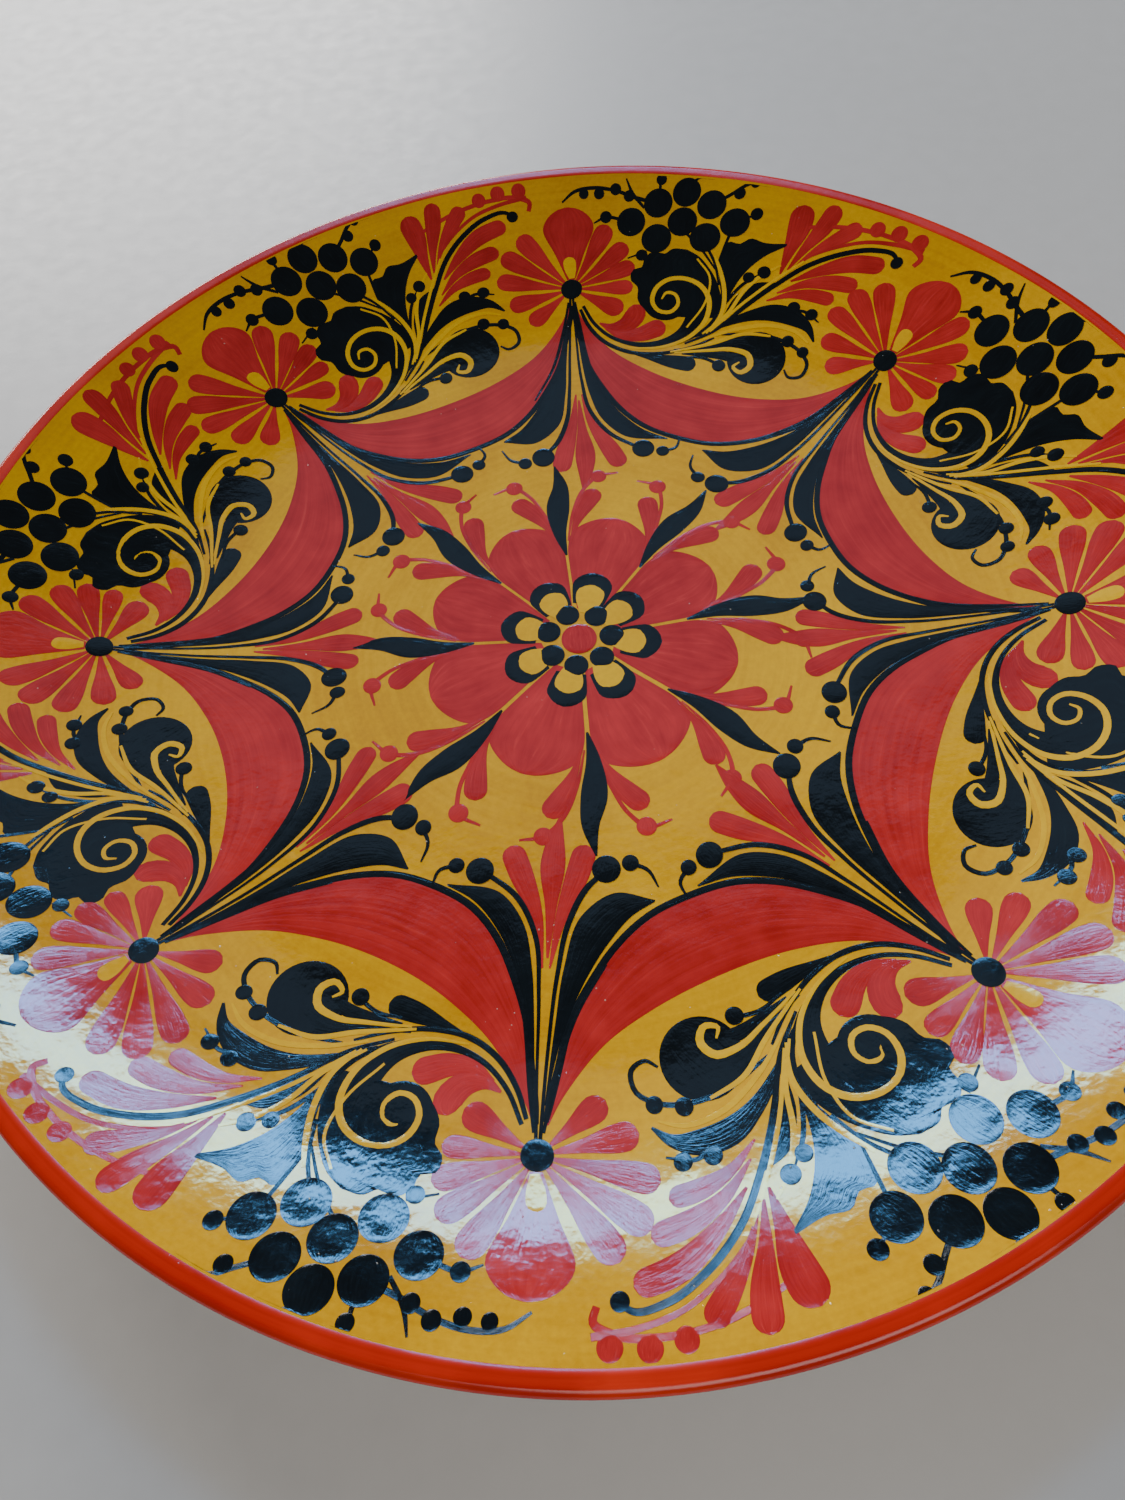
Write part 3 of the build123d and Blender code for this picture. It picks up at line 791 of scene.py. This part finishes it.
floor_reach = np.linspace(0, floor_radius, 16)
wall_reach = np.linspace(floor_radius, lip_radius, 62)[1:]
ground_reach = np.concatenate([floor_reach, wall_reach])
ground_top = np.stack([ground_reach, inside_height(ground_reach)], 1)
ground_under = ground_top[::-1] - [0, coat]
ground = turned_piece("gilt_ground", np.vstack([ground_top, ground_under]), gilt)
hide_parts("gilt_ground")


def rim_profile():
    """The red band, clockwise: over the lip, round the edge by a quarter circle, under the rim."""
    inner, edge, bend = lip_radius, rim_radius, 1.5
    turn = np.radians(np.linspace(90, 0, 9))
    lip_run = np.linspace(inner, edge - bend, 6)
    lip_share = (lip_run - inner) / (edge - bend - inner)
    lip = np.stack([lip_run, lip_height + (rim_top - lip_height) * lip_share**0.8], 1)
    corner = np.stack([edge - bend + bend * np.cos(turn), rim_top - bend + bend * np.sin(turn)], 1)
    side = [(edge, rim_top - 2.4), (edge - 0.25, rim_top - 3.2), (edge - 0.9, rim_top - 3.9)]
    under_run = np.linspace(edge - 1.6, inner - 0.4, 6)
    under = np.stack([under_run, underside_height(under_run)], 1)
    inside = [(inner - 0.4, lip_height - 2.6), (inner, lip_height - 0.8)]
    return np.vstack([lip, corner[1:], side, under, inside])


def brushed_edge(radius, height, angle):
    """The band's inner edge wanders down the wall by three sine waves, and follows its height."""
    wander = 0.16 + 0.08 * np.sin(3 * angle + 0.7) + 0.05 * np.sin(8 * angle + 2.1)
    wander = wander + 0.03 * np.sin(21 * angle)
    reach = 1.2
    share = np.clip((lip_radius + reach - radius) / reach, 0, 1) * (height > lip_height - 1.0)
    moved = radius - share * wander
    drop = lip_height - inside_height(np.minimum(moved, lip_radius))
    return moved, height - share * (drop - 0.03)


rim = turned_piece("rim_band", rim_profile(), rim_red, wobble=brushed_edge)
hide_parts("rim_band")

back_reach = np.linspace(foot_radius + 0.2, lip_radius - 0.1, 48)
back_outer = np.stack([back_reach, underside_height(back_reach)], 1)
back_inner = back_outer[::-1] + [0, coat]
back_profile = np.vstack([back_outer, back_inner])[::-1]
back = turned_piece("back_coat", back_profile, back_black)
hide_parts("back_coat")

for node, material in (("wood_body", lime_wood), ("foot_well_coat", back_black)):
    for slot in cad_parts[node].material_slots:
        slot.material = material


# ------------------------------------------------------------------------------ the wreath


def wreath(name, lift, shapes, material, slot, *nodes, rise=paint_rise):
    """One object of shapes that repeat in every sector of the wreath."""
    painting = Painting(name, lift, rise)
    for sector in range(sector_count):
        for shape in shapes:
            painting.lay(on_wreath(shape, sector))
    painting.piece(material, slot, *nodes)


wreath("ribbon_crescents", 0.012, [ribbon], red_paint, "red_paint", "ribbon_crescents")
wreath("ribbon_outlines", 0.035, [ribbon_outline], black_paint, "black_paint")
wreath("flower_petals", 0.02, flower_petals + commas, red_paint, "red_paint", "flower_petals")
wreath("flower_gilt_dabs", 0.055, [flower_dab], gilt_brush, "gilt")
wreath("flower_hearts", 0.09, [heart], black_paint, "black_paint", "flower_hearts", rise=0.06)
wreath("spray_leaves", 0.045, spray_leaf_shapes, black_paint, "black_paint", "spray_leaves")
wreath("spray_stems", 0.06, spray_stems + spray_tails, black_paint, "black_paint")
wreath("spray_palmettes", 0.025, spray_petals, red_paint, "red_paint", "spray_palmettes")
wreath("berries", 0.07, spray_berry_dabs + bush_berry_dabs, black_paint, "black_paint", "berries",
       rise=0.05)
wreath("bush_foliage", 0.03, bush_shapes, black_paint, "black_paint", "bush_foliage")
wreath("vine_stems", 0.05, bush_lines, black_paint, "black_paint", "vine_stems")
wreath("gilt_curls", 0.068, gilt_lines, gilt_brush, "gilt")
wreath("grape_berries", 0.06, grape_dabs + grape_dots, black_paint, "black_paint", "grape_berries",
       rise=0.06)
wreath("grape_tendrils", 0.04, grape_tendrils, black_paint, "black_paint")
wreath("rim_palmettes", 0.02, palmette_petals + red_tendrils + red_tendril_dabs, red_paint,
       "red_paint", "rim_palmettes")


# ----------------------------------------------------------------------------- the rosette


def rosette(name, lift, shapes, turns, material, slot, *nodes, rise=paint_rise):
    """One object of shapes that repeat about the centre at the given turns, a little uneven."""
    painting = Painting(name, lift, rise)
    for turn in turns:
        for shape in shapes:
            painting.lay(round_centre(shape, turn, 1 + 0.02 * np.sin(5 * turn)))
    painting.piece(material, slot, *nodes)


centre_petals = Painting("rosette_petals", 0.015)
for turn, share in zip(rosette_petal_turns, rosette_petal_shares):
    centre_petals.lay(round_centre(rosette_petal * [share, 1.0], turn))
centre_petals.piece(red_paint, "red_paint", "rosette_petals")

rosette("rosette_horseshoes", 0.045, [horseshoe], gilt_petal_turns, black_paint, "black_paint",
        "rosette_horseshoes")
rosette("rosette_gilt_petals", 0.065, [gilt_petal], gilt_petal_turns, gilt_brush, "gilt")
rosette("rosette_leaves", 0.045, [rosette_leaf], rosette_leaf_turns, black_paint, "black_paint",
        "rosette_leaves")
rosette("rosette_drops", 0.03, rosette_drop_shapes + rosette_tendrils + rosette_tendril_dabs,
        rosette_leaf_turns, red_paint, "red_paint", "rosette_drops")
rosette("rosette_dots", 0.08, [disc(0, 7.6, 2.9)], np.radians([-17, 38, 90, 140, 190, 240, 292]),
        black_paint, "black_paint", "rosette_dots", rise=0.04)
rosette("rosette_eye", 0.08, [disc(0, 0, 4.2, across=13)], [0.0], red_paint, "red_paint",
        "rosette_eye", rise=0.05)


# -------------------------------------------------------------------- floor, light, camera


def stage_floor():
    """A plain pale floor under the foot."""
    shader = Shader("pale_floor")
    cloud = shader.noise(3.0, detail=3)
    grain = shader.noise(160.0, detail=3)
    share = cloud * 0.6 + grain * 0.3
    shader.bump(grain, 0.0004, 0.15)
    colour = shader.mix(share, (0.50, 0.48, 0.45), (0.63, 0.61, 0.58))
    material = shader.finish(Base_Color=colour, Roughness=grain * 0.2 + 0.35)
    mesh = bpy.data.meshes.new("floor")
    reach = 6.0
    corners = [(-reach, -reach, 0), (reach, -reach, 0), (reach, reach, 0), (-reach, reach, 0)]
    mesh.from_pydata(corners, [], [(0, 1, 2, 3)])
    mesh.materials.append(material)
    floor = bpy.data.objects.new("floor", mesh)
    bpy.context.scene.collection.objects.link(floor)


def soft_light(name, place, toward, size, power, colour):
    """A soft panel at a place, facing a point, with its size as width and height."""
    light = bpy.data.lights.new(name, "AREA")
    light.shape = "RECTANGLE"
    light.size, light.size_y = size
    light.energy, light.color = power, colour
    panel = bpy.data.objects.new(name, light)
    aim = np.array(toward, float) - np.array(place, float)
    aim /= np.linalg.norm(aim)
    side = np.cross(aim, [0, 0, 1.0])
    side /= np.linalg.norm(side)
    up = np.cross(side, aim)
    turn = Matrix(np.column_stack([side, up, -aim]).tolist()).to_4x4()
    turn.translation = place
    panel.matrix_world = turn
    bpy.context.scene.collection.objects.link(panel)


def camera_in_front(distance, elevation, pitch, yaw, roll, lens):
    """A camera at a distance and elevation in front of the dish, aimed at the middle of its floor
    and then turned by three small angles: pitch, then yaw, then roll."""
    aim = np.array([0, np.cos(elevation), -np.sin(elevation)])
    side = np.array([1.0, 0, 0])
    up = np.cross(side, aim)
    straight = np.stack([side, up, -aim])
    about_x = np.array([[1, 0, 0], [0, np.cos(pitch), -np.sin(pitch)], [0, np.sin(pitch), np.cos(pitch)]])
    about_y = np.array([[np.cos(yaw), 0, np.sin(yaw)], [0, 1, 0], [-np.sin(yaw), 0, np.cos(yaw)]])
    about_z = np.array([[np.cos(roll), -np.sin(roll), 0], [np.sin(roll), np.cos(roll), 0], [0, 0, 1]])
    turned = about_z @ about_y @ about_x @ straight
    data = bpy.data.cameras.new("camera")
    data.lens = lens
    data.sensor_width = 36.0
    data.clip_start = 0.01
    camera = bpy.data.objects.new("camera", data)
    place = Matrix(turned.T.tolist()).to_4x4()
    place.translation = (-aim * distance).tolist()
    place.translation.z += floor_height * MM
    camera.matrix_world = place
    bpy.context.scene.collection.objects.link(camera)
    bpy.context.scene.camera = camera


stage_floor()
camera_in_front(
    distance=1.588 * rim_radius * MM, elevation=0.9657, pitch=0.1084, yaw=-0.0282, roll=0.1051, lens=24.0
)
soft_light(
    "window", (0.03, 2.04, 2.08), toward=(0, -0.1, 0.02), size=(0.68, 0.21), power=16.6,
    colour=(0.14, 0.48, 1.0),
)
soft_light(
    "glow", (0.0, 1.12, 1.66), toward=(0, 0.05, 0.02), size=(1.3, 0.24), power=0.6,
    colour=(0.42, 0.66, 1.0),
)
soft_light(
    "daylight", (-0.7, 1.8, 0.75), toward=(0, 0, 0), size=(1.4, 0.5), power=48.0,
    colour=(1.0, 0.98, 0.96),
)
soft_light(
    "room", (0.3, -0.9, 1.5), toward=(0, 0, 0), size=(1.2, 1.0), power=15.0,
    colour=(1.0, 0.97, 0.92),
)
world = bpy.data.worlds.new("room")
world.use_nodes = True
background = world.node_tree.nodes["Background"]
background.inputs["Color"].default_value = (0.80, 0.84, 0.90, 1)
background.inputs["Strength"].default_value = 0.12
bpy.context.scene.world = world
